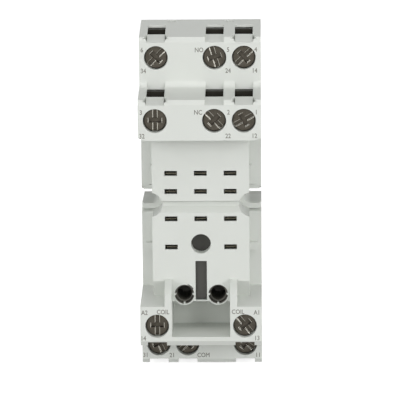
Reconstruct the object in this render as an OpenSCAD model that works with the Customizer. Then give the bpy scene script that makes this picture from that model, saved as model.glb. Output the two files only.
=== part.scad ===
// Relay socket for a three-pole plug-in relay, with eleven screw terminals in
// four rows, for a 35 mm top-hat rail or for two M3 screws.
// Millimetres. X runs across the poles, Z along the socket, and the terminals
// face -Y. The origin is on the rail seat, midway between the two M3 slots.
// Heights are counted from the mounting plane that the back rests on.

/* [Body] */
// Width of the socket across the poles
body_w = 27; // [27:0.5:30]
// Height of the NC and COIL terminal faces above the mounting plane
upper_face = 30; // [29.5:0.5:32]
// Height of the NO terminal face
no_face = 20; // [19.5:0.5:21]
// Height of the COM terminal face
com_face = 21; // [20:0.5:21.5]
// Height of the plug face that the relay sits on
plug_face = 24.5; // [24:0.5:26]
// Height of the ledges beside the plug face
ledge_face = 14.5; // [14:0.5:16]
// Width of the plug face
plug_w = 21.6; // [21:0.2:22.4]
// Thickness of the outer walls
wall = 1.4; // [1.2:0.1:1.6]
// Thickness of the skin under the plug face
skin = 3; // [2.5:0.25:3.5]
// Slope of the walls that face the rail hook end, in degrees
draft = 9; // [6:1:10]

/* [Terminals] */
// Distance between terminal columns
column_pitch = 6.5; // [6.5:0.1:7]
// Height of the NC screw row above the rail centre line
nc_row = 19.8; // [19.5:0.1:21]
// Distance from the NC row to the NO row
top_row_pitch = 12.5; // [12:0.25:13.5]
// Distance of the COIL screw row below the rail centre line
coil_row_drop = 26.4; // [26:0.1:27.5]
// Distance from the COIL row to the COM row
bottom_row_pitch = 6.35; // [6.2:0.05:6.8]
// Distance from a screw row to the outer edge of its tier
row_to_edge = 4.55; // [4.4:0.05:5]
// Distance from the NC and COIL rows to the relay bay
row_to_bay = 4.4; // [4.2:0.1:4.8]
// Diameter of the hole over each screw
screw_hole_d = 5.3; // [5.2:0.05:5.6]
// Depth of a loose screw head below its face
head_recess = 1.2; // [0.8:0.1:1.5]
// Width of a wire entry
entry_w = 4; // [3.6:0.1:4.2]
// Height of a wire entry
entry_h = 6; // [5:0.25:6]
// Depth of a wire entry's front edge below its face
entry_depth = 4; // [3.75:0.25:4.5]
// Thickness of the wall at a wire entry's sill
sill_t = 0.6; // [0.5:0.05:0.8]

/* [Screws and clamps] */
// Diameter of a screw head
head_d = 5; // [4.6:0.1:5]
// Height of a screw head
head_h = 1.9; // [1.6:0.1:2.2]
// Outer diameter of the screw thread
thread_d = 2.9; // [2.8:0.05:3]
// Length of the screw below its head
screw_len = 6.8; // [6.6:0.1:7]
// Thickness of the clamping plate
clamp_t = 1; // [0.8:0.1:1.2]
// Length of the clamping plate along the wire
clamp_len = 5.2; // [4.8:0.1:5.4]
// Wire space between an open clamping plate and its contact
wire_gap = 4.2; // [4.1:0.1:4.4]
// Travel of a clamping plate
clamp_travel = 3; // [2:0.25:3.25]
// Thickness of the wire saddle
saddle_t = 0.4; // [0.3:0.05:0.5]

/* [Contacts] */
// Thickness of the contact strip
strip_t = 1; // [0.8:0.1:1.2]
// Thickness of the contact bar and spring leaves
bar_t = 0.8; // [0.6:0.1:0.9]
// Width of the contact bars
bar_w = 1.8; // [1.4:0.1:2]
// Width of the spring leaves
leaf_w = 2.4; // [2:0.1:2.6]
// Distance between the relay's pin columns
pin_pitch = 6.6; // [6.4:0.05:6.8]
// Height of the first pin row above the rail centre line
pin_top = 7.1; // [6.9:0.1:7.5]
// Distance from the NC pins to the NO pins
nc_to_no = 4.1; // [4:0.05:4.2]
// Distance from the NO pins to the COM pins
no_to_com = 6.2; // [6.1:0.05:6.4]
// Distance from the COM pins to the coil pins
com_to_coil = 6.4; // [6.3:0.05:6.6]
// Width of a pin slot
pin_slot_w = 2.8; // [2.6:0.1:3]
// Height of a pin slot
pin_slot_h = 0.95; // [0.8:0.05:1.1]
// Thickness of the plug face round a pin slot
slot_lip = 0.6; // [0.5:0.05:0.8]

/* [Relay bay] */
// Diameter of the centre hole
centre_hole_d = 4.45; // [4:0.05:4.8]
// Distance of the centre hole below the rail centre line
centre_hole_drop = 8.9; // [8.7:0.1:9.1]
// Width of the guide slot below the centre hole
guide_slot_w = 2.55; // [2.2:0.05:2.8]
// Distance of the guide slot's upper end below the rail centre line
guide_slot_drop = 12.8; // [12.6:0.1:13.4]
// Depth of the guide slot
guide_slot_depth = 1; // [0.8:0.1:1.4]
// Width of the module pocket
pocket_w = 12.96; // [12.6:0.06:13]
// Length of the module pocket
pocket_l = 6.9; // [6.6:0.1:7]
// Height of the pocket's floor
pocket_floor = 16.5; // [16.3:0.1:17.5]
// Distance between the two socket wells of the module
well_pitch = 7.56; // [7.4:0.02:7.7]
// Diameter of a socket well
well_d = 4; // [3.8:0.05:4.1]
// Distance from the wells to the end of the plug face
well_inset = 1.75; // [1.6:0.05:2]
// Thickness of the cheeks beside the pocket
cheek_t = 1.56; // [1.3:0.02:1.7]
// Wall of the metal sleeve in a well
sleeve_t = 0.3; // [0.25:0.05:0.4]

/* [Mounting] */
// Depth of the rail groove
rail_depth = 3.5; // [3.3:0.1:3.7]
// Width of the rail
rail_w = 35; // [35:0.1:35.2]
// Clear width between the rail's flanges
rail_open_w = 25; // [24.5:0.1:25.5]
// Thickness of the rail's edge
rail_t = 1; // [1:0.1:1.2]
// Grip of the hook behind the rail's edge
hook_grip = 1.2; // [1:0.1:1.5]
// Distance between the two M3 slots
slot_pitch = 22.5; // [22.3:0.1:23]
// Width of an M3 slot
slot_w = 3.3; // [3.2:0.1:3.5]
// Diameter of the room for an M3 screw head
slot_head_d = 5.5; // [5.2:0.1:5.7]
// Height of the rear cover's rim, where the housing's wall begins
rim_h = 4; // [4:0.1:4.4]
// Thickness of the rear cover inside the housing
cover_t = 8; // [7.5:0.1:8.2]

/* [Rail latch] */
// Width of the latch slider
latch_w = 9.8; // [9:0.1:10.4]
// Height of the latch slider's guides
latch_t = 2.4; // [2.2:0.1:2.5]
// Travel of the latch
latch_travel = 3; // [2:0.25:3.2]
// Diameter of the latch spring
spring_d = 2; // [1.8:0.05:2.1]
// Diameter of the spring wire
spring_wire = 0.3; // [0.25:0.05:0.35]
// Number of turns of the latch spring
spring_turns = 7; // [5:1:8]

/* [Hidden] */
$fn = 48;
cut = 1;            // how far a cut runs past the face it opens
gap = 0.1;          // sliding clearance of moving plastic parts
fit = 0.05;         // running clearance round a screw thread
edge_drop = 0.7;    // height of the slope along a tier's outer edge
edge_run = 1.1;     // width of that slope
lip = 0.85;         // overhang of the COIL and COM edges over their walls
arc_steps = 8;      // chords in a rounded profile
no_row = nc_row + top_row_pitch;
coil_row = -coil_row_drop;
com_row = coil_row - bottom_row_pitch;
no_edge = no_row + row_to_edge;
nc_edge = nc_row + row_to_edge;
coil_edge = coil_row - row_to_edge;
com_edge = com_row - row_to_edge;
coil_wall = coil_edge + lip;
com_wall = com_edge + lip;
bay_top = nc_row - row_to_bay;
bay_end = coil_row + row_to_bay;
bay_slope = 5.7;    // slope of the COIL tier's wall towards the bay
foot_r = 1.6;       // fillet between the NO face and the NC tier
sweep_run = 5.1;    // reach of the COIL tier's foot over the plug face
sweep_edge = 2.4;   // the same at the plug face's sides
sweep_bow = 1.5;    // hollow of that foot
cheek_top = 2.7;    // reach of the cheeks' faces past the COIL tier
cheek_foot = 5;     // reach of the cheeks' feet over the plug face
cheek_bow = 0.5;    // hollow of the cheeks' front edges
nc_pins = pin_top;
no_pins = nc_pins - nc_to_no;
com_pins = no_pins - no_to_com;
coil_pins = com_pins - com_to_coil;
partition = 1.2;    // wall between two clamp chambers
chamber_w = column_pitch - partition;
chamber_in = 3.2;   // chamber from the screw row towards the bay
ledge_t = 2.1;      // thickness of the ledges over the hollow
low_ceiling = ledge_face - ledge_t;
plug_ceiling = plug_face - skin;
head_sink = head_recess + head_h;
strip_sink = head_sink + clamp_t + wire_gap;
deck_low = 10;      // height of the NO and COM bars
deck_high = 14;     // height of the NC and COIL bars
lane_out = plug_w / 2 - wall - bar_w / 2 - 0.35; // bar lane of the outer columns
lane_mid = 1.6;     // bar lane of the middle NO and NC contacts
well_row = bay_end + well_inset;
seat_half = rail_w / 2 + 0.15;
latch_top = -(rail_w / 2 - hook_grip);
latch_end = com_wall - 0.6;
post_t = 1.2;       // post that the latch spring rests on
spring_spare = 3.2; // room left between the turns of a pressed spring
spring_z0 = latch_end + 3 + post_t;
spring_z1 = spring_z0 + spring_turns * spring_wire + spring_spare + latch_travel;
rib_w = 1.4;
slot_wall = 1.2;    // wall round the M3 slots
saddle_half = entry_w / 2 + 0.2;
guide_wall = 0.4;   // wall between the guide slot and the pocket
rib_depth = 0.8;    // depth of the gripping ribs in a well
carrier_t = 1.2;    // thickness of the contact carrier
relief = 0.8;       // widening of a pin slot behind its lip
groove_d = 1.65;    // depth of the groove across the plug face
channel_d = 1.4;    // depth of the channels across the ledges
pad_h = 1.5;        // height of the pads on the ledges

// Each pair of pads: where it begins and ends along the socket, and how far
// it stands out from the plug face's side
PADS = [[4.6, 7.4, 0.6], [-12.2, -10.4, 1.8]];

// Terminals: number, column, row, face height, pin column, pin row,
// bar lane, bar height, side of the bay, screw angle
TERMINALS = [
    ["34", -1.5, no_row, no_face, -1, no_pins, -lane_out, deck_low, 1, 45],
    ["24", 0.5, no_row, no_face, 0, no_pins, lane_mid, deck_low, 1, 107],
    ["14", 1.5, no_row, no_face, 1, no_pins, lane_out, deck_low, 1, 43],
    ["32", -1.5, nc_row, upper_face, -1, nc_pins, -lane_out, deck_high, 1, 90],
    ["22", 0.5, nc_row, upper_face, 0, nc_pins, lane_mid, deck_high, 1, 135],
    ["12", 1.5, nc_row, upper_face, 1, nc_pins, lane_out, deck_high, 1, 28],
    ["a2", -1.5, coil_row, upper_face, -1, coil_pins, -lane_out, deck_high, -1, 90],
    ["a1", 1.5, coil_row, upper_face, 1, coil_pins, lane_out, deck_high, -1, 130],
    ["31", -1.5, com_row, com_face, -1, com_pins, -lane_out, deck_low, -1, 115],
    ["21", -0.5, com_row, com_face, 0, com_pins, -column_pitch / 2, deck_low, -1, 45],
    ["11", 1.5, com_row, com_face, 1, com_pins, lane_out, deck_low, -1, 145]
];
function t_name(t) = t[0];
function t_x(t) = t[1] * column_pitch;
function t_z(t) = t[2];
function t_face(t) = t[3];
function t_pin_x(t) = t[4] * pin_pitch;
function t_pin_z(t) = t[5];
function t_lane(t) = t[6];
function t_deck(t) = t[7];
function t_side(t) = t[8];
function t_turn(t) = t[9];

// Where a terminal's wire entry begins, and the wall's place at a height
function t_step(t) = t_face(t) < upper_face ? 0 : t_side(t) > 0 ? no_face : com_face;
function t_sill(t) = max(t_face(t) - entry_depth - entry_h, t_step(t));
function wall_at(t, h) = t_side(t) > 0
    ? t_z(t) + row_to_edge + (t_face(t) - edge_drop - h) * tan(draft)
    : t_z(t) - row_to_edge + lip;
function sill_in(t) = wall_at(t, t_sill(t)) - t_side(t) * sill_t;
function strip_top(t) = t_face(t) - strip_sink;

body_grey = [0.83, 0.84, 0.82];
cover_grey = [0.80, 0.81, 0.79];
brass = [0.80, 0.68, 0.38];
steel = [0.55, 0.55, 0.53];
latch_grey = [0.30, 0.31, 0.31];
carrier_black = [0.16, 0.16, 0.15];

// --- Building blocks -------------------------------------------------------

// A point of a side profile, from its height and its place along the socket
function at(h, z) = [rail_depth - h, z];

// A side profile carried across the socket, w wide and centred on x
module across(points, w, x = 0) {
    translate([x, 0, 0])
        rotate([90, 0, 90])
            linear_extrude(w, center = true)
                polygon(points);
}

// A box between two places across, two along and two heights
module block(x0, x1, z0, z1, h0, h1) {
    translate([x0, rail_depth - h1, z0])
        cube([x1 - x0, h1 - h0, z1 - z0]);
}

// A round peg or hole along Y between two heights
module peg(x, z, h0, h1, d) {
    translate([x, rail_depth - h0, z])
        rotate([90, 0, 0])
            cylinder(h = h1 - h0, d = d);
}

// The height of a sloped wall's surface along Z, h above the mounting plane
function sloped(edge, face, h) = edge + (face - edge_drop - h) * tan(draft);

// An arc of a profile round (h, z), from angle a0 to angle a1
function arc(h, z, r, a0, a1) = [
    for (i = [0 : arc_steps])
        let (a = a0 + (a1 - a0) * i / arc_steps)
            at(h + r * sin(a), z + r * cos(a))
];

// A hollow curve of a profile between two points, bow deep at its middle
function swept(h0, z0, h1, z1, bow) =
    let (run = norm([h1 - h0, z1 - z0]), nh = (z1 - z0) / run, nz = -(h1 - h0) / run)
    [
        for (i = [0 : arc_steps])
            let (t = i / arc_steps, b = 4 * bow * t * (1 - t))
                at(h0 + (h1 - h0) * t + nh * b, z0 + (z1 - z0) * t + nz * b)
    ];

// --- Housing ---------------------------------------------------------------

// Side profile of the four tiers and the ledges between them
module tiers() {
    nc_foot = sloped(nc_edge, upper_face, no_face);
    coil_foot = bay_end + (upper_face - ledge_face) * tan(bay_slope);
    across(concat(
        [
            at(rim_h, com_wall),
            at(rim_h, sloped(no_edge, no_face, rim_h)),
            at(no_face - edge_drop, no_edge),
            at(no_face, no_edge - edge_run)
        ],
        arc(no_face + foot_r, nc_foot + foot_r * 0.9, foot_r, 270, 190),
        [
            at(upper_face - edge_drop, nc_edge),
            at(upper_face, nc_edge - edge_run),
            at(upper_face, bay_top),
            at(ledge_face, bay_top),
            at(ledge_face, coil_foot),
            at(upper_face, bay_end),
            at(upper_face, coil_edge + edge_run),
            at(upper_face - edge_drop, coil_edge),
            at(upper_face - edge_drop - lip, coil_wall),
            at(com_face, coil_wall),
            at(com_face, com_edge + edge_run),
            at(com_face - edge_drop, com_edge),
            at(com_face - edge_drop - lip, com_wall)
        ]
    ), body_w);
}

// The raised block that carries the plug face
module plug_block() {
    across([
        at(ledge_face - cut, bay_top + cut),
        at(ledge_face - cut, bay_end - cut),
        at(plug_face, bay_end - cut),
        at(plug_face, bay_top + cut)
    ], plug_w);
}

// The hollow sweep from the plug face up to the COIL tier. Its foot runs in
// an arch from the cheeks to the plug face's sides.
module sweep() {
    inner = (pocket_w + cheek_t) / 2;
    outer = plug_w / 2;
    crown = bay_end + sweep_run;
    drop = sweep_run - sweep_edge;
    arch = [
        for (i = [0 : arc_steps])
            let (a = 90 * i / arc_steps)
                [inner + (outer - inner) * sin(a), crown - drop * (1 - cos(a))]
    ];
    intersection() {
        across(concat(
            [
                at(plug_face - cut, crown),
                at(plug_face - cut, bay_end - cut),
                at(upper_face, bay_end - cut)
            ],
            swept(upper_face, bay_end, plug_face, crown, sweep_bow)
        ), plug_w);
        rotate([90, 0, 0])
            linear_extrude(upper_face)
                polygon(concat(
                    [[-outer, bay_end - cut], [outer, bay_end - cut]],
                    [for (i = [arc_steps : -1 : 0]) arch[i]],
                    [for (i = [0 : arc_steps]) [-arch[i][0], arch[i][1]]]
                ));
    }
}

// The two cheeks beside the module pocket, swept up out of the plug face
module cheeks() {
    for (s = [-1, 1])
        across(concat(
            [
                at(plug_face - cut, bay_end + cheek_foot),
                at(plug_face - cut, bay_end - cut),
                at(upper_face, bay_end - cut)
            ],
            swept(upper_face, bay_end + cheek_top, plug_face, bay_end + cheek_foot, cheek_bow)
        ), cheek_t, s * (pocket_w + cheek_t) / 2);
}

// A wire entry through the wall of a tier, and the throat behind its thin
// sill
module entry_hole(t) {
    high = t_face(t) - entry_depth;
    reach = t_side(t) * (row_to_edge + 6);
    block(t_x(t) - entry_w / 2, t_x(t) + entry_w / 2,
        min(t_z(t), t_z(t) + reach), max(t_z(t), t_z(t) + reach), t_sill(t), high);
    block(t_x(t) - saddle_half - 2 * gap, t_x(t) + saddle_half + 2 * gap,
        min(t_z(t), sill_in(t)), max(t_z(t), sill_in(t)), t_sill(t) - 1.5, high);
}

// The groove that leads a wire over a sloped upper edge into its entry. It
// flares in the outer columns.
module upper_groove(t) {
    face = t_face(t);
    edge = t_z(t) + row_to_edge;
    high = face - entry_depth;
    groove_w = entry_w + 0.15;
    across([
        at(high, wall_at(t, high) - 0.35),
        at(face, edge - edge_run),
        at(face + cut, edge - edge_run),
        at(face + cut, edge + 4),
        at(high, edge + 4)
    ], groove_w, t_x(t));
    if (abs(t_x(t)) > column_pitch)
        for (s = [-1, 1])
            translate([t_x(t) + s * groove_w / 2, rail_depth - face, edge - edge_run])
                linear_extrude(edge_run + 4)
                    polygon([[-s * 0.1, 0.7], [s * 0.75, 0.95], [-s * 0.1, 3.6]]);
}

// The notch that opens an overhanging lower edge over its wire entry
module lower_notch(t) {
    wall_z = t_z(t) - row_to_edge + lip;
    notch_w = entry_w + 0.25;
    block(t_x(t) - notch_w / 2, t_x(t) + notch_w / 2, wall_z - lip - cut, wall_z,
        t_face(t) - entry_depth, t_face(t) + cut);
}

// The room of one terminal: screw hole, clamp chamber and wire entry
module terminal_room(t) {
    ceiling = t_face(t) - head_sink;
    z_in = t_side(t) * -chamber_in;
    z_out = t_side(t) * (clamp_len / 2 + gap);
    peg(t_x(t), t_z(t), ceiling - cut, t_face(t) + cut, screw_hole_d);
    block(t_x(t) - chamber_w / 2, t_x(t) + chamber_w / 2,
        t_z(t) + min(z_in, z_out), t_z(t) + max(z_in, z_out),
        deck_low, ceiling);
    entry_hole(t);
    if (t_side(t) > 0)
        upper_groove(t);
    else
        lower_notch(t);
}

// The hollow behind the tiers that takes the rear cover
module low_hollow() {
    difference() {
        block(-body_w / 2 + wall, body_w / 2 - wall, com_wall + wall,
            sloped(no_edge, no_face, cover_t) - wall, rim_h - cut, low_ceiling);
        for (s = [-1, 1])
            block(s > 0 ? slot_pitch / 2 - slot_head_d / 2 : -body_w / 2,
                s > 0 ? body_w / 2 : -slot_pitch / 2 + slot_head_d / 2,
                -slot_w / 2 - slot_wall, slot_w / 2 + slot_wall, rim_h - cut, low_ceiling);
    }
}

// The hollow under the plug face that takes the spring leaves
module plug_hollow() {
    half = plug_w / 2 - wall;
    duct_end = coil_row + chamber_in;
    difference() {
        across([
            at(low_ceiling - cut, nc_row - chamber_in),
            at(plug_ceiling, nc_row - chamber_in),
            at(plug_ceiling, bay_end + wall),
            at(pocket_floor - wall + 0.1, bay_end + wall),
            at(pocket_floor - wall + 0.1, duct_end),
            at(low_ceiling - cut, duct_end)
        ], 2 * half);
        for (s = [-1, 1]) {
            peg(s * well_pitch / 2, well_row, pocket_floor - wall, plug_face, well_d + 1);
            peg(s * slot_pitch / 2, 0, low_ceiling - cut, plug_face, slot_head_d + 1.6);
        }
    }
}

// A pin slot for one blade of the relay, wider behind its lip
module pin_slot(t) {
    block(t_pin_x(t) - pin_slot_w / 2, t_pin_x(t) + pin_slot_w / 2,
        t_pin_z(t) - pin_slot_h / 2, t_pin_z(t) + pin_slot_h / 2,
        plug_ceiling - cut, plug_face + cut);
    block(t_pin_x(t) - pin_slot_w / 2, t_pin_x(t) + pin_slot_w / 2,
        t_pin_z(t) - pin_slot_h / 2 - relief, t_pin_z(t) + pin_slot_h / 2 + relief,
        plug_ceiling - cut, plug_face - slot_lip);
}

// The module pocket, the clear stretch of plug face above it and the guide slot
module pocket() {
    block(-pocket_w / 2, pocket_w / 2, bay_end - pocket_l, bay_end,
        pocket_floor, upper_face + cut);
    block(-pocket_w / 2, pocket_w / 2, bay_end - cut, bay_end + sweep_run + cut,
        plug_face, upper_face + cut);
    block(-guide_slot_w / 2, guide_slot_w / 2, bay_end + guide_wall, -guide_slot_drop,
        plug_ceiling - carrier_t - gap, plug_face + cut);
}

// The rims of the two module wells, standing out of the plug face's end
module well_rims() {
    for (s = [-1, 1])
        peg(s * well_pitch / 2, well_row, pocket_floor - cut, plug_face + 0.12,
            well_d + 0.6);
}

// The bores of the two module wells, each with three gripping ribs at its
// mouth
module well_bores() {
    rib = 0.35;
    for (s = [-1, 1])
        translate([s * well_pitch / 2, 0, well_row])
            difference() {
                peg(0, 0, low_ceiling, upper_face, well_d);
                for (a = [0, 180, 270])
                    rotate([0, -a, 0])
                        block(well_d / 2 - rib, well_d / 2 + cut, -rib / 2, rib / 2,
                            plug_face - rib_depth, upper_face + cut);
            }
}

// The slots for M3 screws at both sides, open outwards, with room for the
// heads and a shallow channel across the ledges
module screw_slots() {
    floor_h = ledge_face - channel_d;
    for (s = [-1, 1]) {
        x = s * slot_pitch / 2;
        peg(x, 0, -cut, upper_face, slot_w);
        block(min(x, s * (body_w / 2 + cut)), max(x, s * (body_w / 2 + cut)),
            -slot_w / 2, slot_w / 2, -cut, upper_face);
        peg(x, 0, floor_h, upper_face, slot_head_d);
        across([
            at(floor_h, slot_w / 2),
            at(floor_h, -slot_w / 2 - 1.2),
            at(ledge_face, -slot_w / 2 - 1.9),
            at(ledge_face + cut, -slot_w / 2 - 1.9),
            at(ledge_face + cut, slot_w / 2 + 0.65),
            at(ledge_face, slot_w / 2 + 0.65)
        ], (body_w - plug_w) / 2 + cut, s * (body_w + plug_w + 2 * cut) / 4);
    }
}

// The shallow groove across the plug face between the NO and COM pins
module plug_groove() {
    across([
        at(plug_face + cut, 0.85),
        at(plug_face, 0.85),
        at(plug_face - groove_d, 0.4),
        at(plug_face - groove_d, -0.6),
        at(plug_face, -1.8),
        at(plug_face + cut, -1.8)
    ], plug_w + cut);
}

// Small guide pads on the ledges, beside the plug face
module ledge_pads() {
    for (s = [-1, 1])
        for (p = PADS) {
            near = s * (plug_w / 2 - cut);
            far = s * (plug_w / 2 + p[2]);
            block(min(near, far), max(near, far), p[0], p[1],
                ledge_face - cut, ledge_face + pad_h);
        }
}

// The cut corners of the NC tier's edge over the relay bay
module bay_corners() {
    for (s = [-1, 1])
        translate([0, rail_depth - ledge_face, 0])
            rotate([90, 0, 0])
                linear_extrude(upper_face)
                    polygon([
                        [s * body_w / 2 + s * cut, bay_top - cut],
                        [s * body_w / 2 + s * cut, bay_top + 0.6],
                        [s * body_w / 2, bay_top + 0.6],
                        [s * (body_w / 2 - 1.4), bay_top],
                        [s * (body_w / 2 - 1.4), bay_top - cut]
                    ]);
}

// Windows for the rear cover's snap hooks in both end walls
module snap_windows() {
    for (s = [-1, 1])
        for (z = [com_wall - cut, sloped(no_edge, no_face, cover_t) - wall - 0.1])
            block(s * column_pitch - 0.9, s * column_pitch + 0.9, z, z + wall + 2 * cut,
                rim_h + 2.4, rim_h + 3.8);
}

module housing() {
    color(body_grey)
        difference() {
            union() {
                difference() {
                    union() {
                        tiers();
                        plug_block();
                        sweep();
                    }
                    pocket();
                }
                cheeks();
                well_rims();
                ledge_pads();
            }
            low_hollow();
            plug_hollow();
            for (t = TERMINALS) {
                terminal_room(t);
                pin_slot(t);
            }
            well_bores();
            screw_slots();
            plug_groove();
            bay_corners();
            snap_windows();
            peg(0, -centre_hole_drop, plug_ceiling - cut, plug_face + cut, centre_hole_d);
        }
}

// --- Rear cover ------------------------------------------------------------

// The grooves that take the rail's two flanges, with the slot behind the
// fixed hook. The foot between them stands in the rail's hollow.
module rail_groove() {
    lip_h = rail_depth - rail_t - 0.3;
    half = body_w / 2 + cut;
    foot = rail_open_w / 2 - 0.4;
    block(-half, half, -seat_half, -foot, -cut, rail_depth);
    block(-half, half, foot, rail_w / 2 - hook_grip, -cut, rail_depth);
    block(-half, half, foot, seat_half + 0.4, lip_h, rail_depth);
}

// The guide channel of the rail latch, open at the lower end
module latch_channel() {
    half = latch_w / 2 + gap;
    top = -seat_half + cut;
    block(-half, half, com_wall - cut, top, rail_depth - latch_t - 2 * gap, rail_depth);
    block(-half + 1.2, half - 1.2, com_wall - cut, top, -cut, rail_depth);
}

// The post in the latch channel that the spring rests on
module spring_post() {
    block(-0.9, 0.9, spring_z0 - post_t, spring_z0, rail_depth - latch_t, rail_depth + 0.5);
}

// Ribs under the low contact bars
module bar_ribs() {
    for (t = TERMINALS)
        if (t_deck(t) == deck_low) {
            z_pin = t_pin_z(t) + t_side(t) * 2;
            z_leg = t_z(t) - t_side(t) * (chamber_in + 1);
            block(t_lane(t) - rib_w / 2, t_lane(t) + rib_w / 2,
                min(z_pin, z_leg), max(z_pin, z_leg), cover_t - cut, deck_low);
        }
}

// Room in the cover for the ends of the driven NO and COM screws
module screw_pockets() {
    for (t = TERMINALS)
        if (t_deck(t) == deck_low)
            peg(t_x(t), t_z(t), t_face(t) - head_sink - screw_len - clamp_travel - 1,
                cover_t + cut, thread_d + 1);
}

// Snap hooks that catch in the end windows of the housing
module snap_hooks() {
    top_z = sloped(no_edge, no_face, cover_t) - wall;
    for (s = [-1, 1]) {
        block(s * column_pitch - 0.8, s * column_pitch + 0.8, top_z - 1, top_z + 0.9,
            rim_h + 2.5, rim_h + 3.7);
        block(s * column_pitch - 0.8, s * column_pitch + 0.8, com_wall + 0.4,
            com_wall + wall + 1, rim_h + 2.5, rim_h + 3.7);
    }
}

module rear_cover() {
    half = body_w / 2 - wall - gap;
    top_z = sloped(no_edge, no_face, cover_t) - wall - gap;
    color(cover_grey)
        difference() {
            union() {
                difference() {
                    union() {
                        block(-body_w / 2, body_w / 2, com_wall,
                            sloped(no_edge, no_face, rim_h) - 0.2, 0, rim_h);
                        block(-half, half, com_wall + wall + gap, top_z,
                            rim_h - cut, cover_t);
                        snap_hooks();
                    }
                    rail_groove();
                    latch_channel();
                    screw_pockets();
                    for (s = [-1, 1])
                        block(s > 0 ? slot_pitch / 2 - slot_head_d / 2 - gap : -body_w / 2,
                            s > 0 ? body_w / 2 : -slot_pitch / 2 + slot_head_d / 2 + gap,
                            -slot_w / 2 - slot_wall - gap, slot_w / 2 + slot_wall + gap,
                            rim_h, cover_t + cut);
                }
                spring_post();
                bar_ribs();
            }
            for (s = [-1, 1]) {
                peg(s * slot_pitch / 2, 0, -cut, cover_t + cut, slot_w);
                block(s > 0 ? slot_pitch / 2 : -body_w / 2 - cut,
                    s > 0 ? body_w / 2 + cut : -slot_pitch / 2,
                    -slot_w / 2, slot_w / 2, -cut, cover_t + cut);
            }
        }
}

// --- Rail latch ------------------------------------------------------------

module rail_latch() {
    half = latch_w / 2;
    floor_h = rail_depth - latch_t - gap;
    tongue = half - 1.2;
    color(latch_grey)
        difference() {
            union() {
                block(-half, half, latch_end + 1.5, -seat_half - 1, floor_h, rail_depth - gap);
                block(-tongue, tongue, latch_end - 0.6, -seat_half - 1,
                    gap, rail_depth - gap);
                across([
                    at(gap, -seat_half - 1.2),
                    at(gap, latch_top - 1),
                    at(gap + 0.8, latch_top),
                    at(rail_depth - rail_t - 0.2, latch_top),
                    at(rail_depth - rail_t - 0.2, -seat_half),
                    at(rail_depth - gap, -seat_half),
                    at(rail_depth - gap, -seat_half - 1.2)
                ], 2 * tongue);
            }
            block(-spring_d / 2 - 0.2, spring_d / 2 + 0.2, spring_z0 - post_t - gap,
                spring_z1, floor_h - 0.5, rail_depth + cut);
            block(-1.6, 1.6, latch_end - 2, latch_end + 0.5, gap + 0.6, rail_depth + cut);
        }
}

// Points of the spring wire's centre line and a tube swept along it
spring_sides = 6;
spring_rings = 16;
function spring_at(i) =
    let (n = spring_turns * spring_rings, r = (spring_d - spring_wire) / 2,
        z = spring_z0 + spring_wire / 2 + (spring_z1 - spring_z0 - spring_wire) * i / n,
        a = 360 * i / spring_rings)
    [r * cos(a), r * sin(a), z];

module latch_spring() {
    n = spring_turns * spring_rings;
    points = [
        for (i = [0 : n])
            let (c = spring_at(i), a = 360 * i / spring_rings)
                for (k = [0 : spring_sides - 1])
                    let (b = 360 * k / spring_sides, r = spring_wire / 2)
                        c + [r * cos(b) * cos(a), r * cos(b) * sin(a), r * sin(b)]
    ];
    sides = [
        for (i = [0 : n - 1])
            for (k = [0 : spring_sides - 1])
                let (k2 = (k + 1) % spring_sides, a = i * spring_sides, b = a + spring_sides)
                    [a + k, b + k, b + k2, a + k2]
    ];
    first = [for (k = [0 : spring_sides - 1]) k];
    last = [for (k = [spring_sides - 1 : -1 : 0]) n * spring_sides + k];
    color(steel)
        translate([0, latch_t / 2 + gap, 0])
            polyhedron(points = points, faces = concat([first], sides, [last]), convexity = 8);
}

// --- Contacts --------------------------------------------------------------

// One spring leaf of a female contact, s being its side of the blade
module leaf(x, z, base, s) {
    top = plug_ceiling - 0.3;
    neck = base + (top - base) * 0.72;
    across([
        at(base, z + s * 0.7),
        at(neck, z + s * 0.5),
        at(top, z + s * 0.75),
        at(top, z + s * 0.45),
        at(neck, z + s * 0.2),
        at(base, z + s * 0.4)
    ], leaf_w, x);
}

module contact(t) {
    x = t_x(t);
    side = t_side(t);
    top = strip_top(t);
    strip_half = chamber_w / 2;
    leg_half = strip_half - 0.5;
    leg_in = t_z(t) - side * chamber_in;
    leg_out = leg_in + side * bar_t;
    end = t_z(t) + side * (clamp_len / 2 - gap);
    lane = t_lane(t);
    deck = t_deck(t);
    pin_x = t_pin_x(t);
    pin_z = t_pin_z(t);
    pin_in = pin_z - side * 0.8;
    pin_out = pin_z + side * 1.8;
    color(brass)
        difference() {
            union() {
                block(x - strip_half, x + strip_half, min(leg_in, end), max(leg_in, end),
                    top - strip_t, top);
                peg(x, t_z(t), top - strip_t - 1, top, thread_d + 1.6);
                block(x - leg_half, x + leg_half, min(leg_in, leg_out),
                    max(leg_in, leg_out), deck, top);
                block(min(x, lane) - bar_w / 2, max(x, lane) + bar_w / 2,
                    min(leg_in, leg_in + side * 1.2), max(leg_in, leg_in + side * 1.2),
                    deck, deck + bar_t);
                block(lane - bar_w / 2, lane + bar_w / 2, min(leg_in, pin_z),
                    max(leg_in, pin_z), deck, deck + bar_t);
                block(min(pin_x - leaf_w / 2, lane - bar_w / 2),
                    max(pin_x + leaf_w / 2, lane + bar_w / 2),
                    min(pin_z, pin_out), max(pin_z, pin_out), deck, deck + bar_t);
                block(pin_x - leaf_w / 2, pin_x + leaf_w / 2, min(pin_in, pin_out),
                    max(pin_in, pin_out), deck, deck + bar_t);
                if (t_z(t) == coil_row)
                    block(min(lane, sign(lane) * well_pitch / 2),
                        max(lane, sign(lane) * well_pitch / 2),
                        well_row - bar_w / 2, well_row + bar_w / 2, deck, deck + bar_t);
                leaf(pin_x, pin_z, deck, 1);
                leaf(pin_x, pin_z, deck, -1);
            }
            peg(x, t_z(t), deck - cut, top + cut, thread_d + 2 * fit);
        }
}

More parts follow.
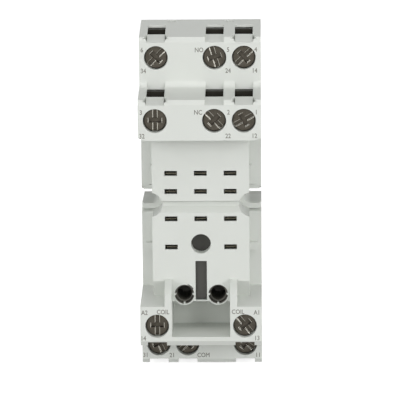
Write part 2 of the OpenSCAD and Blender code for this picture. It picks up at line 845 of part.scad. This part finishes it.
// The saddle that the wire lies on, turned down behind the entry's sill
module wire_saddle(t) {
    x = t_x(t);
    side = t_side(t);
    top = strip_top(t) + saddle_t;
    z_in = t_z(t) - side * (clamp_len / 2 - 0.2);
    z_out = sill_in(t) - side * gap;
    z_fold = z_out - side * saddle_t;
    color(steel)
        difference() {
            union() {
                block(x - saddle_half, x + saddle_half, min(z_in, z_out),
                    max(z_in, z_out), top - saddle_t, top);
                block(x - saddle_half, x + saddle_half, min(z_fold, z_out),
                    max(z_fold, z_out), t_sill(t) - 1.3, top);
            }
            peg(x, t_z(t), top - saddle_t - cut, top + cut, thread_d + 4 * fit);
        }
}

// --- Contact carrier and module sleeves ------------------------------------

// The dark carrier under the plug face, with windows for the contacts and
// the floor of the guide slot
module contact_carrier() {
    half = plug_w / 2 - wall - gap;
    guide_half = guide_slot_w / 2 - gap;
    base = plug_ceiling - carrier_t;
    notch_half = slot_head_d / 2 + 0.9;
    notch_in = slot_pitch / 2 - notch_half;
    color(carrier_black)
        difference() {
            union() {
                block(-half, half, bay_end + wall + gap, nc_row - chamber_in - gap,
                    base, plug_ceiling);
                block(-guide_half, guide_half, bay_end + guide_wall + gap,
                    -guide_slot_drop - gap, base, plug_face - guide_slot_depth);
            }
            for (t = TERMINALS)
                block(t_pin_x(t) - leaf_w / 2 - 0.3, t_pin_x(t) + leaf_w / 2 + 0.3,
                    t_pin_z(t) - 1.1, t_pin_z(t) + 1.1, base - cut, plug_face);
            for (s = [-1, 1]) {
                peg(s * well_pitch / 2, well_row, base - cut, plug_face, well_d + 1.2);
                block(min(s * notch_in, s * plug_w), max(s * notch_in, s * plug_w),
                    -notch_half, notch_half, base - cut, plug_face);
            }
        }
}

// The metal sleeve in a well that takes a module's plug, s being its side
module module_sleeve(s) {
    outer = well_d - 2 * fit;
    foot = deck_high + bar_t;
    color(steel)
        difference() {
            peg(s * well_pitch / 2, well_row, foot, plug_face - rib_depth - gap, outer);
            peg(s * well_pitch / 2, well_row, foot + sleeve_t, plug_face,
                outer - 2 * sleeve_t);
        }
}

// --- Clamping plates and screws --------------------------------------------

module clamp_plate(t) {
    top = t_face(t) - head_sink;
    half = chamber_w / 2 - gap;
    ridge = 0.25;
    color(steel)
        difference() {
            union() {
                block(t_x(t) - half, t_x(t) + half, t_z(t) - clamp_len / 2,
                    t_z(t) + clamp_len / 2, top - clamp_t, top);
                for (s = [-1, 1])
                    block(t_x(t) - half, t_x(t) + half, t_z(t) + s * clamp_len * 0.4 - ridge / 2,
                        t_z(t) + s * clamp_len * 0.4 + ridge / 2, top - clamp_t - ridge, top);
            }
            peg(t_x(t), t_z(t), top - clamp_t - cut, top + cut, thread_d + 0.3);
        }
}

// A screw with a driver slot and a cross recess in its head
module screw(t) {
    top = t_face(t) - head_recess;
    slot = 1;
    bevel = 0.2;
    color(steel)
        translate([t_x(t), rail_depth - top, t_z(t)])
            rotate([0, -t_turn(t), 0])
                rotate([90, 0, 0])
                    difference() {
                        rotate_extrude()
                            polygon([
                                [0, 0],
                                [head_d / 2 - bevel, 0],
                                [head_d / 2, -bevel],
                                [head_d / 2, -head_h],
                                [thread_d / 2, -head_h],
                                [thread_d / 2, -head_h - screw_len + 0.4],
                                [thread_d / 2 - 0.4, -head_h - screw_len],
                                [0, -head_h - screw_len]
                            ]);
                        translate([-head_d / 2 - cut, -slot / 2, -0.9])
                            cube([head_d + 2 * cut, slot, 0.9 + cut]);
                        translate([-slot / 2, -head_d * 0.3, -1.1])
                            cube([slot, head_d * 0.6, 1.1 + cut]);
                    }
}

housing();
rear_cover();
contact_carrier();
rail_latch();
latch_spring();
module_sleeve(-1);  // module_sleeve_a2
module_sleeve(1);  // module_sleeve_a1
for (t = TERMINALS) {
    contact(t);
    wire_saddle(t);
    clamp_plate(t);
    screw(t);
}
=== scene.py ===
import math

import bmesh
import bpy
from mathutils import Euler, Matrix, Vector


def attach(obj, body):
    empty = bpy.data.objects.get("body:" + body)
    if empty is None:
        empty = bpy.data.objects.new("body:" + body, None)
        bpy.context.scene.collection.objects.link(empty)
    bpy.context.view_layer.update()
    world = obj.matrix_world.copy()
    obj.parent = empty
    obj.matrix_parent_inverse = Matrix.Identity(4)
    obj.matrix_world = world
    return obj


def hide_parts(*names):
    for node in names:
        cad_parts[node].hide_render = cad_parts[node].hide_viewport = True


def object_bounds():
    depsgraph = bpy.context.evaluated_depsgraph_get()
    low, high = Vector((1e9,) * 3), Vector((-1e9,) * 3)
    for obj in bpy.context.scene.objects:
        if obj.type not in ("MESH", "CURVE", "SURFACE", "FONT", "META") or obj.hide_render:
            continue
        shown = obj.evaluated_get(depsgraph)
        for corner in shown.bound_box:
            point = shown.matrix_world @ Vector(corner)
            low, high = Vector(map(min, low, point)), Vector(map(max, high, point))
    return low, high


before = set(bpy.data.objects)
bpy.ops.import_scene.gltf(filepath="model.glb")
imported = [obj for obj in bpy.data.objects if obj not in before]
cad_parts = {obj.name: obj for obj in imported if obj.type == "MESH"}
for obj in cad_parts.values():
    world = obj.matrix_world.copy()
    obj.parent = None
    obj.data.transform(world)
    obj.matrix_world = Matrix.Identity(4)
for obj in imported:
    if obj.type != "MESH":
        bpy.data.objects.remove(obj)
cad_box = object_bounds()

MM = 0.001
RAIL_DEPTH = 3.5  # the rail seat stands this far in front of the mounting plane
UPPER_FACE = 30  # heights of the NC and COIL tiers' faces, and then of the others
COM_FACE = 21
NO_FACE = 20
PLUG_FACE = 24.5


# --- Finishes ----------------------------------------------------------------


def linear(hex_colour):
    """An sRGB hex colour as the linear values that a socket takes."""
    parts = [int(hex_colour[i : i + 2], 16) / 255 for i in (1, 3, 5)]
    return [p / 12.92 if p <= 0.04045 else ((p + 0.055) / 1.055) ** 2.4 for p in parts] + [1]


def add_node(material, kind, inputs=None, **settings):
    """A node of one kind, with its settings. inputs holds values or the outputs to link."""
    tree = material.node_tree
    made = tree.nodes.new(kind)
    for name, value in settings.items():
        setattr(made, name, value)
    for name, value in (inputs or {}).items():
        socket = made.inputs[name]
        if isinstance(value, bpy.types.NodeSocket):
            tree.links.new(value, socket)
        else:
            socket.default_value = value
    return made


def new_finish(name):
    material = bpy.data.materials.new(name)
    material.use_nodes = True
    material.node_tree.nodes.clear()
    return material


def moulded_plastic(name, pale, deep, rough, grain, relief):
    """A filled polyamide out of an eroded tool: pale, faintly clouded where it
    flowed, with a fine satin grain. The grain is 0.25 mm, twice the real one,
    because the real one is too fine to show."""
    m = new_finish(name)
    spot = add_node(m, "ShaderNodeTexCoord").outputs["Object"]
    cloud = add_node(m, "ShaderNodeTexNoise", {"Vector": spot, "Scale": 90.0, "Detail": 3.0})
    colour = add_node(m, "ShaderNodeMix", {"Factor": cloud.outputs["Fac"]}, data_type="RGBA")
    colour.inputs[6].default_value = linear(deep)
    colour.inputs[7].default_value = linear(pale)
    fine = add_node(m, "ShaderNodeTexNoise", {"Vector": spot, "Scale": grain, "Detail": 2.0})
    gloss = add_node(
        m,
        "ShaderNodeMapRange",
        {"Value": fine.outputs["Fac"], "To Min": rough - 0.06, "To Max": rough + 0.06},
    )
    bump = add_node(
        m,
        "ShaderNodeBump",
        {"Height": fine.outputs["Fac"], "Strength": 0.25, "Distance": relief},
    )
    shader = add_node(
        m,
        "ShaderNodeBsdfPrincipled",
        {
            "Base Color": colour.outputs[2],
            "Roughness": gloss.outputs[0],
            "Normal": bump.outputs[0],
            "IOR": 1.53,
        },
    )
    add_node(m, "ShaderNodeOutputMaterial", {"Surface": shader.outputs[0]})
    return m


def worked_metal(name, bright, dull, rough, grain, stretch, relief):
    """A bare or plated metal with fine marks along one way."""
    m = new_finish(name)
    spot = add_node(m, "ShaderNodeTexCoord").outputs["Object"]
    along = add_node(m, "ShaderNodeMapping", {"Vector": spot, "Scale": stretch})
    marks = add_node(
        m,
        "ShaderNodeTexNoise",
        {"Vector": along.outputs[0], "Scale": grain, "Detail": 3.0},
    )
    colour = add_node(m, "ShaderNodeMix", {"Factor": marks.outputs["Fac"]}, data_type="RGBA")
    colour.inputs[6].default_value = linear(dull)
    colour.inputs[7].default_value = linear(bright)
    gloss = add_node(
        m,
        "ShaderNodeMapRange",
        {"Value": marks.outputs["Fac"], "To Min": rough + 0.08, "To Max": rough - 0.05},
    )
    bump = add_node(
        m,
        "ShaderNodeBump",
        {"Height": marks.outputs["Fac"], "Strength": 0.3, "Distance": relief},
    )
    shader = add_node(
        m,
        "ShaderNodeBsdfPrincipled",
        {
            "Base Color": colour.outputs[2],
            "Roughness": gloss.outputs[0],
            "Normal": bump.outputs[0],
            "Metallic": 1.0,
        },
    )
    add_node(m, "ShaderNodeOutputMaterial", {"Surface": shader.outputs[0]})
    return m


# Light grey polyamide, moulded: the housing
housing_polyamide = moulded_plastic(
    "Moulded polyamide, light grey", "#D9DCD7", "#D2D5CF", 0.5, 4000.0, 0.00002
)
# The same compound out of another tool, a little greyer: the rear cover
cover_polyamide = moulded_plastic(
    "Moulded polyamide, cover grey", "#D2D4CE", "#CACDC7", 0.52, 4000.0, 0.00002
)
# Acetal, smooth and slightly waxy: the rail latch
latch_acetal = moulded_plastic("Moulded acetal, grey", "#B9BBB6", "#B0B3AD", 0.38, 1500.0, 0.000005)
# Black polyamide, dull: the contact carrier under the plug face
carrier_polyamide = moulded_plastic(
    "Moulded polyamide, black", "#3F3E39", "#373631", 0.6, 4000.0, 0.00002
)
# Zinc plate with dark passivation over cold-headed steel, its colour darkened further as painted
# shade of the deep screw holes: the screws
screw_zinc_painted_shade = worked_metal(
    "Zinc plated steel, dark passivated, painted shade", "#56524A", "#413D36", 0.45, 1800.0, (1, 1, 1), 0.00001
)
# Drawn steel, coloured dark as painted shade so the wells' mouths read as deep shadowed holes: the
# module sleeves
sleeve_painted_shade = moulded_plastic(
    "Drawn steel, dark painted shade", "#57554D", "#4C4A43", 0.6, 3000.0, 0.000005
)
# Pressed steel with dark passivation, its colour kept dark as painted shade behind the wire
# entries: the wire saddles
saddle_painted_shade = worked_metal(
    "Pressed steel, dark passivated, painted shade", "#3A3833", "#2B2A26", 0.5, 900.0, (1, 1, 4), 0.000005
)
# The plate worn bright along the edges that the screwdriver touches, made brighter still as a
# painted highlight of the slot edges' glints
screw_edge_highlight = worked_metal(
    "Zinc plated steel, worn edge, painted highlight", "#E6E4DA", "#C9C6BA", 0.3, 1800.0, (1, 1, 1), 0.000005
)
# Pressed steel under clear zinc: the clamping plates
clamp_zinc = worked_metal(
    "Zinc plated steel, pressed", "#B9B9B4", "#96968F", 0.35, 900.0, (1, 1, 4), 0.000005
)
# Drawn wire with its die marks along it: the latch spring
spring_wire = worked_metal(
    "Spring wire, drawn", "#A8A8A6", "#7F7F7C", 0.28, 2500.0, (1, 1, 1), 0.000003
)
# Tinned brass strip with its rolling marks: the contacts
contact_brass = worked_metal(
    "Brass strip, tinned", "#A8A190", "#8D8776", 0.42, 1200.0, (6, 1, 1), 0.000004
)


def marking_ink(name):
    """Grey marking ink, matt, faintly uneven where the pad left it."""
    m = new_finish(name)
    spot = add_node(m, "ShaderNodeTexCoord").outputs["Object"]
    film = add_node(m, "ShaderNodeTexNoise", {"Vector": spot, "Scale": 2500.0, "Detail": 2.0})
    colour = add_node(m, "ShaderNodeMix", {"Factor": film.outputs["Fac"]}, data_type="RGBA")
    colour.inputs[6].default_value = linear("#6C6A62")
    colour.inputs[7].default_value = linear("#7C7A73")
    shader = add_node(
        m,
        "ShaderNodeBsdfPrincipled",
        {"Base Color": colour.outputs[2], "Roughness": 0.7},
    )
    add_node(m, "ShaderNodeOutputMaterial", {"Surface": shader.outputs[0]})
    return m


legend_ink = marking_ink("Marking ink, grey")


# --- Tool shapes -------------------------------------------------------------
#
# From here on, lengths are millimetres unless MM is in them: x across, height
# over the mounting plane, and z along the socket.


def select_only(obj):
    bpy.ops.object.select_all(action="DESELECT")
    obj.select_set(True)
    bpy.context.view_layer.objects.active = obj


def point(x, height, z):
    """A place in millimetres as a point of the scene."""
    return Vector((x * MM, (RAIL_DEPTH - height) * MM, z * MM))


def tool_prism(lower, upper):
    """A closed tool shape from a ring of places and the same ring carried on."""
    mesh = bpy.data.meshes.new("tool")
    shape = bmesh.new()
    low = [shape.verts.new(point(*spot)) for spot in lower]
    high = [shape.verts.new(point(*spot)) for spot in upper]
    count = len(low)
    shape.faces.new(low)
    shape.faces.new(high)
    for i in range(count):
        j = (i + 1) % count
        shape.faces.new((low[i], low[j], high[j], high[i]))
    bmesh.ops.recalc_face_normals(shape, faces=shape.faces)
    shape.to_mesh(mesh)
    shape.free()
    tool = bpy.data.objects.new("tool", mesh)
    bpy.context.scene.collection.objects.link(tool)
    return tool


def tool_across(profile, x0, x1):
    """A profile of heights and places along, carried across."""
    return tool_prism([(x0, h, z) for h, z in profile], [(x1, h, z) for h, z in profile])


def tool_upright(plan, h0, h1):
    """A plan of places across and along, carried up."""
    return tool_prism([(x, h0, z) for x, z in plan], [(x, h1, z) for x, z in plan])


def tool_box(x0, x1, h0, h1, z0, z1):
    return tool_upright([(x0, z0), (x1, z0), (x1, z1), (x0, z1)], h0, h1)


def tool_peg(x, z, h0, h1, diameter):
    sides = 48
    turn = [2 * math.pi * i / sides for i in range(sides)]
    reach = diameter / 2
    return tool_upright([(x + math.cos(a) * reach, z + math.sin(a) * reach) for a in turn], h0, h1)


def work(obj, tools, operation):
    """Cuts the tool shapes out of a piece, or adds them to it, one after another."""
    for tool in tools:
        select_only(obj)
        step = obj.modifiers.new("tool", "BOOLEAN")
        step.operation = operation
        step.solver = "EXACT"
        step.object = tool
        bpy.ops.object.modifier_apply(modifier=step.name)
        bpy.data.objects.remove(tool, do_unlink=True)


def plane_cut(obj, spot, normal):
    """Takes off all that stands past a plane, and closes the cut."""
    select_only(obj)
    bpy.ops.object.mode_set(mode="EDIT")
    bpy.ops.mesh.select_all(action="SELECT")
    bpy.ops.mesh.bisect(plane_co=spot, plane_no=normal, use_fill=True, clear_outer=True)
    bpy.ops.object.mode_set(mode="OBJECT")


# --- Pieces ------------------------------------------------------------------


def merged(obj, reach):
    """Joins a solid's points and faces that lie together."""
    select_only(obj)
    bpy.ops.object.mode_set(mode="EDIT")
    bpy.ops.mesh.select_all(action="SELECT")
    bpy.ops.mesh.remove_doubles(threshold=reach)
    bpy.ops.mesh.dissolve_limited(angle_limit=math.radians(1))
    bpy.ops.object.mode_set(mode="OBJECT")


def solid_copy(node, name, finish):
    """A merged copy of a CAD node's solid, in its finish."""
    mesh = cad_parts[node].data.copy()
    obj = bpy.data.objects.new(name, mesh)
    bpy.context.scene.collection.objects.link(obj)
    mesh.materials.clear()
    mesh.materials.append(finish)
    merged(obj, 0.002 * MM)
    return obj


def take_place(obj, node, body):
    """Shows a finished piece in place of its CAD node."""
    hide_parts(node)
    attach(obj, body)


def round_edges(obj, edge, sharp, worn=None):
    """Rounds the edges that turn by more than an angle in degrees, as the tool
    leaves them. Worn edges get a finish of their own, which is also a painted highlight."""
    select_only(obj)
    bevel = obj.modifiers.new("edges", "BEVEL")
    bevel.width = edge * MM
    bevel.segments = 2
    bevel.limit_method = "ANGLE"
    bevel.angle_limit = math.radians(sharp)
    if worn:
        obj.data.materials.append(worn)
        bevel.material = 1
    bpy.ops.object.modifier_apply(modifier=bevel.name)
    bpy.ops.object.shade_smooth_by_angle(angle=math.radians(32))
    weighted = obj.modifiers.new("normals", "WEIGHTED_NORMAL")
    weighted.keep_sharp = True
    bpy.ops.object.modifier_apply(modifier=weighted.name)


# Places of the screws across and along the socket
SCREWS = {
    "34": (-9.75, 32.3),
    "24": (3.25, 32.3),
    "14": (9.75, 32.3),
    "32": (-9.75, 19.8),
    "22": (3.25, 19.8),
    "12": (9.75, 19.8),
    "a2": (-9.75, -26.4),
    "a1": (9.75, -26.4),
    "31": (-9.75, -32.75),
    "21": (-3.25, -32.75),
    "11": (9.75, -32.75),
}
NO_TIER = ("34", "24", "14")
NC_TIER = ("32", "22", "12")
COM_TIER = ("31", "21", "11")
SIDES = (-1, 1)

# The upper tiers' outer walls stand further out towards their foot, and a steeper
# slope runs along their top edge
DRAFT = math.tan(math.radians(9))
ROW_TO_EDGE = 4.55  # from the screws to where the wall meets the slope
EDGE_DROP = 0.7  # from the tier's face down to there
EDGE_SLOPE = 0.636  # what the slope falls on each mm outwards


def face_of(t):
    return NO_FACE if t in NO_TIER else UPPER_FACE


def edge_of(t):
    """Where an upper tier's outer wall meets the slope along its top edge."""
    return SCREWS[t][1] + ROW_TO_EDGE


def wall_of(t, height):
    """Where an upper tier's outer wall stands at a height."""
    return edge_of(t) + (face_of(t) - EDGE_DROP - height) * DRAFT


def entry_ears():
    """The walls beside the upper wire entries, whole behind their sloped face."""
    entry_half = 2.0  # half the width of a wire entry
    entry_sunk = 3.95  # depth of an entry's upper edge under its face
    entry_height = 6.0
    ear = 0.7  # width of the stretch that is made whole
    skin = 0.6
    inset = 0.01  # keeps the new faces just behind the wall's own
    ears = []
    for t in NO_TIER + NC_TIER:
        high = face_of(t) - entry_sunk
        low = high - entry_height
        profile = [
            (low, wall_of(t, low) - inset),
            (high, wall_of(t, high) - inset),
            (high, wall_of(t, high) - skin),
            (low, wall_of(t, low) - skin),
        ]
        for s in SIDES:
            near = SCREWS[t][0] + s * entry_half
            ears.append(tool_across(profile, near, near + s * ear))
    return ears


def screw_ledges():
    """The ledge under each M3 screw's head, with the screw's slot open to the side."""
    slot_x = 11.25
    slot_w = 3.3
    base, ledge = 12.0, 14.3  # heights of its foot and its top
    ledges = []
    for s in SIDES:
        shelf = tool_box(s * 10.8 - 2.3, s * 10.8 + 2.3, base, ledge, -2.84, 2.6)
        inner, outer = sorted((s * slot_x, s * 14))
        slot = tool_box(inner, outer, base - 1, ledge + 0.1, -slot_w / 2, slot_w / 2)
        hole = tool_peg(s * slot_x, 0, base - 1, ledge + 0.1, slot_w)
        work(shelf, [slot, hole], "DIFFERENCE")
        ledges.append(shelf)
    return ledges


# The two module wells: their bores' places, and their slightly lower mouths'
WELL_X = 3.78
WELL_Z = -20.24
MOUTH_Z = -20.4


def well_collars():
    """The collars of the wells, which stand out into the module pocket."""
    collars = []
    for s in SIDES:
        collar = tool_peg(s * WELL_X, MOUTH_Z, 16.7, PLUG_FACE + 0.12, 4.9)
        work(collar, [tool_peg(s * WELL_X, WELL_Z, 16, 26, 3.98)], "DIFFERENCE")
        collars.append(collar)
    return collars


def gripping_ribs(x, start, width):
    """Three bars that reach into a well's mouth: left, right and below."""
    low, high = 22, 27
    half = width / 2
    return [
        tool_box(x - 3, x - start, low, high, MOUTH_Z - half, MOUTH_Z + half),
        tool_box(x + start, x + 3, low, high, MOUTH_Z - half, MOUTH_Z + half),
        tool_box(x - half, x + half, low, high, MOUTH_Z - 3.1, MOUTH_Z - start),
    ]


def well_mouths():
    """The wide mouths of the wells, which leave the ribs standing."""
    mouths = []
    for s in SIDES:
        mouth = tool_peg(s * WELL_X, MOUTH_Z, 22.6, 26, 4.4)
        work(mouth, gripping_ribs(s * WELL_X, 1.8, 0.4), "DIFFERENCE")
        mouths.append(mouth)
    return mouths


def cheek_scoops():
    """Beside each cheek the plug face falls away to the foot of the COIL tier's wall."""
    profile = [(31, -22.09), (31, -15.52), (24.51, -15.52), (24.49, -17.4), (22.3, -21.22)]
    return [tool_across(profile, s * 8.06, s * 10.86) for s in SIDES]


def groove_flares():
    """The groove over each outer upper entry flares towards the face."""
    flares = []
    for t in ("34", "14", "32", "12"):
        x, edge, face = SCREWS[t][0], edge_of(t), face_of(t)
        for s in SIDES:
            near, wide = x + s * 2.0, x + s * 2.95
            plan = [(near, edge + 0.5), (wide, edge - 0.45), (near, edge - 0.65)]
            floor = [(px, face - 1.1 + (edge - pz) * EDGE_SLOPE, pz) for px, pz in plan]
            flares.append(tool_prism(floor, [(px, face + 1, pz) for px, pz in plan]))
    return flares


def groove_ends():
    """The NO tier's grooves run a little further into its face."""
    half = 2.07
    ends = []
    for t in NO_TIER:
        x, edge = SCREWS[t][0], edge_of(t)
        foot, top = NO_FACE - 0.9, NO_FACE + 1
        profile = [(foot, edge - 0.85), (top, edge - 1.45), (top, edge), (foot, edge)]
        ends.append(tool_across(profile, x - half, x + half))
    return ends


def pin_mouths():
    """The mouths of the relay's pin slots, by row along the socket."""
    half_w, half_h = 1.42, 0.56
    outer = 6.6
    rows = {7.1: (-outer, 0, outer), 3.0: (-outer, 0, outer), -3.2: (-outer, 0, outer)}
    rows[-9.6] = (-outer, outer)
    return [
        tool_box(x - half_w, x + half_w, PLUG_FACE - 1, PLUG_FACE + 0.5, z - half_h, z + half_h)
        for z, columns in rows.items()
        for x in columns
    ]


def com_notches():
    """The notches in the COM tier's edge over its wire entries."""
    half = 2.12
    places = [SCREWS[t][0] for t in COM_TIER]
    return [tool_box(x - half, x + half, 17.1, COM_FACE + 1, -38, -36.15) for x in places]


housing = solid_copy("housing", "housing_moulding", housing_polyamide)
# Takes the guide slot close to the module pocket
slot_end = tool_box(-1.27, 1.27, 21.0, 26, -21.83, -21.3)
work(housing, entry_ears() + screw_ledges() + well_collars(), "UNION")
work(housing, well_mouths() + cheek_scoops() + groove_flares() + groove_ends(), "DIFFERENCE")
work(housing, [slot_end] + pin_mouths() + com_notches(), "DIFFERENCE")

# The drawn sleeve in each well, with a flared mouth that the ribs reach through. The flare lays the
# sleeve's dark colour over the mouth's floor as painted shade.
for s, node in ((-1, "module_sleeve_a2"), (1, "module_sleeve_a1")):
    x = s * WELL_X
    sleeve = solid_copy(node, node + "_drawn", sleeve_painted_shade)
    shade_flare = tool_peg(x, MOUTH_Z, 22.65, 24.25, 4.36)
    mouth = tool_peg(x, MOUTH_Z + 0.04, 22.95, 26, 4.1)
    bore = tool_peg(x, WELL_Z, 22, 26, 3.3)
    work(shade_flare, [mouth] + gripping_ribs(x, 1.78, 0.46) + [bore], "DIFFERENCE")
    work(sleeve, [shade_flare], "UNION")
    take_place(sleeve, node, "socket")

# The COM tier's outer wall is flat, and both mouldings draw in behind the NO tier's
COM_WALL = -37.1
BACK_SLOPE = Vector((0, 0.14, 1)).normalized()
plane_cut(housing, point(0, COM_FACE, COM_WALL), (0, 0, -1))
cover = solid_copy("rear_cover", "rear_cover_moulding", cover_polyamide)
for moulding in (housing, cover):
    plane_cut(moulding, point(0, 5.8, 38.99), BACK_SLOPE)

merged(housing, 0.025 * MM)
round_edges(housing, 0.12, 14)
take_place(housing, "housing", "socket")
round_edges(cover, 0.12, 35)
take_place(cover, "rear_cover", "socket")
latch = solid_copy("rail_latch", "rail_latch_moulding", latch_acetal)
round_edges(latch, 0.1, 35)
take_place(latch, "rail_latch", "latch")

# The screwdriver wears a screw's slot edges bright, from this far off its axis, and these bright
# edges are also a painted highlight
WORN_HIGHLIGHT_FROM = 1.35
for t, (x, z) in SCREWS.items():
    node = "screw_" + t
    screw = solid_copy(node, "terminal_screw_" + t, screw_zinc_painted_shade)
    round_edges(screw, 0.06, 60, screw_edge_highlight)
    for face in screw.data.polygons:
        if math.hypot(face.center.x - x * MM, face.center.z - z * MM) < WORN_HIGHLIGHT_FROM * MM:
            face.material_index = 0
    take_place(screw, node, node)

# The pieces inside keep the CAD's meshes and only take a finish
INSIDE = [
    ("contact_carrier", carrier_polyamide),
    ("latch_spring", spring_wire),
]
for t in SCREWS:
    INSIDE.append(("contact_" + t, contact_brass))
    INSIDE.append(("wire_saddle_" + t, saddle_painted_shade))
    INSIDE.append(("clamp_plate_" + t, clamp_zinc))
for node, finish in INSIDE:
    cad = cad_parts[node]
    cad.data.materials.clear()
    cad.data.materials.append(finish)


# --- Markings ----------------------------------------------------------------

# Words, place across and along the socket in millimetres, and face height
LEGENDS = [
    ("6", -12.83, 34.1, NO_FACE),
    ("NO", -0.14, 34.05, NO_FACE),
    ("5", 6.28, 34.1, NO_FACE),
    ("4", 12.39, 34.1, NO_FACE),
    ("34", -12.54, 29.4, NO_FACE),
    ("24", 6.25, 29.4, NO_FACE),
    ("14", 12.24, 29.4, NO_FACE),
    ("3", -12.78, 21.7, UPPER_FACE),
    ("NC", -0.24, 21.7, UPPER_FACE),
    ("2", 6.41, 21.7, UPPER_FACE),
    ("1", 12.49, 21.7, UPPER_FACE),
    ("32", -12.61, 16.45, UPPER_FACE),
    ("22", 6.29, 16.45, UPPER_FACE),
    ("12", 12.16, 16.45, UPPER_FACE),
    ("A2", -12.56, -23.3, UPPER_FACE),
    ("COIL", -8.4, -23.15, UPPER_FACE),
    ("COIL", 8.24, -23.15, UPPER_FACE),
    ("A1", 12.3, -23.3, UPPER_FACE),
    ("14", -12.76, -29.15, UPPER_FACE),
    ("13", 12.5, -29.15, UPPER_FACE),
    ("31", -12.85, -35.25, COM_FACE),
    ("21", -6.89, -35.3, COM_FACE),
    ("COM", 0.28, -35.3, COM_FACE),
    ("11", 12.61, -35.3, COM_FACE),
]
BOLD = 0.02 * MM  # what the pad spreads each letter by
LETTER_HEIGHT = 1.05 * MM
INK = 0.01 * MM


def legend(index, words, x, z, height):
    """One marking, printed flat on its face."""
    bpy.ops.object.select_all(action="DESELECT")
    bpy.ops.object.text_add()
    obj = bpy.context.object
    obj.name = "legend_%02d" % index
    obj.data.body = words
    obj.data.align_x = "CENTER"
    obj.data.align_y = "CENTER"
    # The built-in letters stand 0.73 of their size tall
    obj.data.size = LETTER_HEIGHT / 0.73
    obj.data.resolution_u = 3
    obj.data.extrude = INK / 2
    obj.data.offset = BOLD
    bpy.ops.object.convert(target="MESH")
    obj = bpy.context.object
    turn = Euler((math.radians(90), 0, 0)).to_matrix().to_4x4()
    low = Vector(obj.bound_box[0])
    high = Vector(obj.bound_box[6])
    centre = Matrix.Translation(-(low + high) / 2)
    narrow = Matrix.Diagonal((0.86, 1, 1, 1))
    obj.data.transform(Matrix.Translation(point(x, height, z)) @ turn @ narrow @ centre)
    obj.data.materials.clear()
    obj.data.materials.append(legend_ink)
    return obj


marks = [legend(i, *entry) for i, entry in enumerate(LEGENDS)]
bpy.ops.object.select_all(action="DESELECT")
for obj in marks:
    obj.select_set(True)
bpy.context.view_layer.objects.active = marks[0]
bpy.ops.object.join()
legends = bpy.context.object
legends.name = "terminal_legends"
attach(legends, "socket")


# --- Studio ------------------------------------------------------------------


def seen_directly(material):
    """1 for a camera, glossy or transmission ray, and 0 for any other."""
    path = add_node(material, "ShaderNodeLightPath")
    one = add_node(
        material,
        "ShaderNodeMath",
        {0: path.outputs["Is Camera Ray"], 1: path.outputs["Is Glossy Ray"]},
        operation="MAXIMUM",
    )
    return add_node(
        material,
        "ShaderNodeMath",
        {0: one.outputs[0], 1: path.outputs["Is Transmission Ray"]},
        operation="MAXIMUM",
    ).outputs[0]


# Plain pale floor: white where it is lit, and it still takes the shadow
floor_paint = new_finish("Studio floor, white")
floor_shade = add_node(
    floor_paint, "ShaderNodeBsdfDiffuse", {"Color": linear("#E6E6E6"), "Roughness": 0.5}
)
floor_glow = add_node(
    floor_paint,
    "ShaderNodeEmission",
    {"Strength": add_node(
        floor_paint,
        "ShaderNodeMath",
        {0: seen_directly(floor_paint), 1: 0.75},
        operation="MULTIPLY",
    ).outputs[0]},
)
floor_sum = add_node(
    floor_paint, "ShaderNodeAddShader", {0: floor_shade.outputs[0], 1: floor_glow.outputs[0]}
)
add_node(floor_paint, "ShaderNodeOutputMaterial", {"Surface": floor_sum.outputs[0]})
bpy.ops.object.select_all(action="DESELECT")
bpy.ops.mesh.primitive_plane_add(size=6, location=(0, 0, cad_box[0].z - 0.0002))
floor = bpy.context.object
floor.name = "studio_floor"
floor.data.materials.append(floor_paint)

world = bpy.data.worlds.new("Studio light, even")
bpy.context.scene.world = world
world.use_nodes = True
world.node_tree.nodes.clear()
AMBIENT = 0.2
sky_level = add_node(
    world,
    "ShaderNodeMapRange",
    {"Value": seen_directly(world), "To Min": AMBIENT, "To Max": 1.0},
)
sky = add_node(
    world, "ShaderNodeBackground", {"Color": (1, 1, 1, 1), "Strength": sky_level.outputs[0]}
)
add_node(world, "ShaderNodeOutputWorld", {"Surface": sky.outputs[0]})


def soft_box(name, azimuth, elevation, distance, size, power):
    """An area light that faces the object from one side."""
    a, e = math.radians(azimuth), math.radians(elevation)
    out = Vector((math.sin(a) * math.cos(e), -math.cos(a) * math.cos(e), math.sin(e)))
    lamp = bpy.data.lights.new(name, "AREA")
    lamp.shape = "SQUARE"
    lamp.size = size
    lamp.energy = power
    obj = bpy.data.objects.new(name, lamp)
    bpy.context.scene.collection.objects.link(obj)
    obj.location = out * distance
    obj.rotation_euler = (-out).to_track_quat("-Z", "Y").to_euler()


soft_box("left_light", -45, 15, 1.0, 0.6, 3.7)
soft_box("right_light", 45, 15, 1.0, 0.6, 4.25)
soft_box("top_light", 0, 60, 1.0, 0.6, 2.0)
soft_box("front_light", 1, 12, 1.0, 0.3, 0.8)

# The camera looks slightly down on the plug face from straight ahead
aim = Vector((0, -21 * MM, 3.33 * MM))
azimuth, elevation, distance = math.radians(1.35), math.radians(11), 0.62
back = Vector(
    (
        math.sin(azimuth) * math.cos(elevation),
        -math.cos(azimuth) * math.cos(elevation),
        math.sin(elevation),
    )
)
camera_data = bpy.data.cameras.new("camera")
camera_data.sensor_width = 36
camera_data.lens = 251.4
camera_data.clip_end = 20
camera = bpy.data.objects.new("camera", camera_data)
bpy.context.scene.collection.objects.link(camera)
level = (-back).to_track_quat("-Z", "Y").to_matrix().to_4x4()
tilt = Euler((math.radians(-0.205), math.radians(0.009), math.radians(-0.5))).to_matrix().to_4x4()
camera.matrix_world = Matrix.Translation(aim + back * distance) @ level @ tilt
bpy.context.scene.camera = camera

scene = bpy.context.scene
scene.view_settings.view_transform = "Standard"
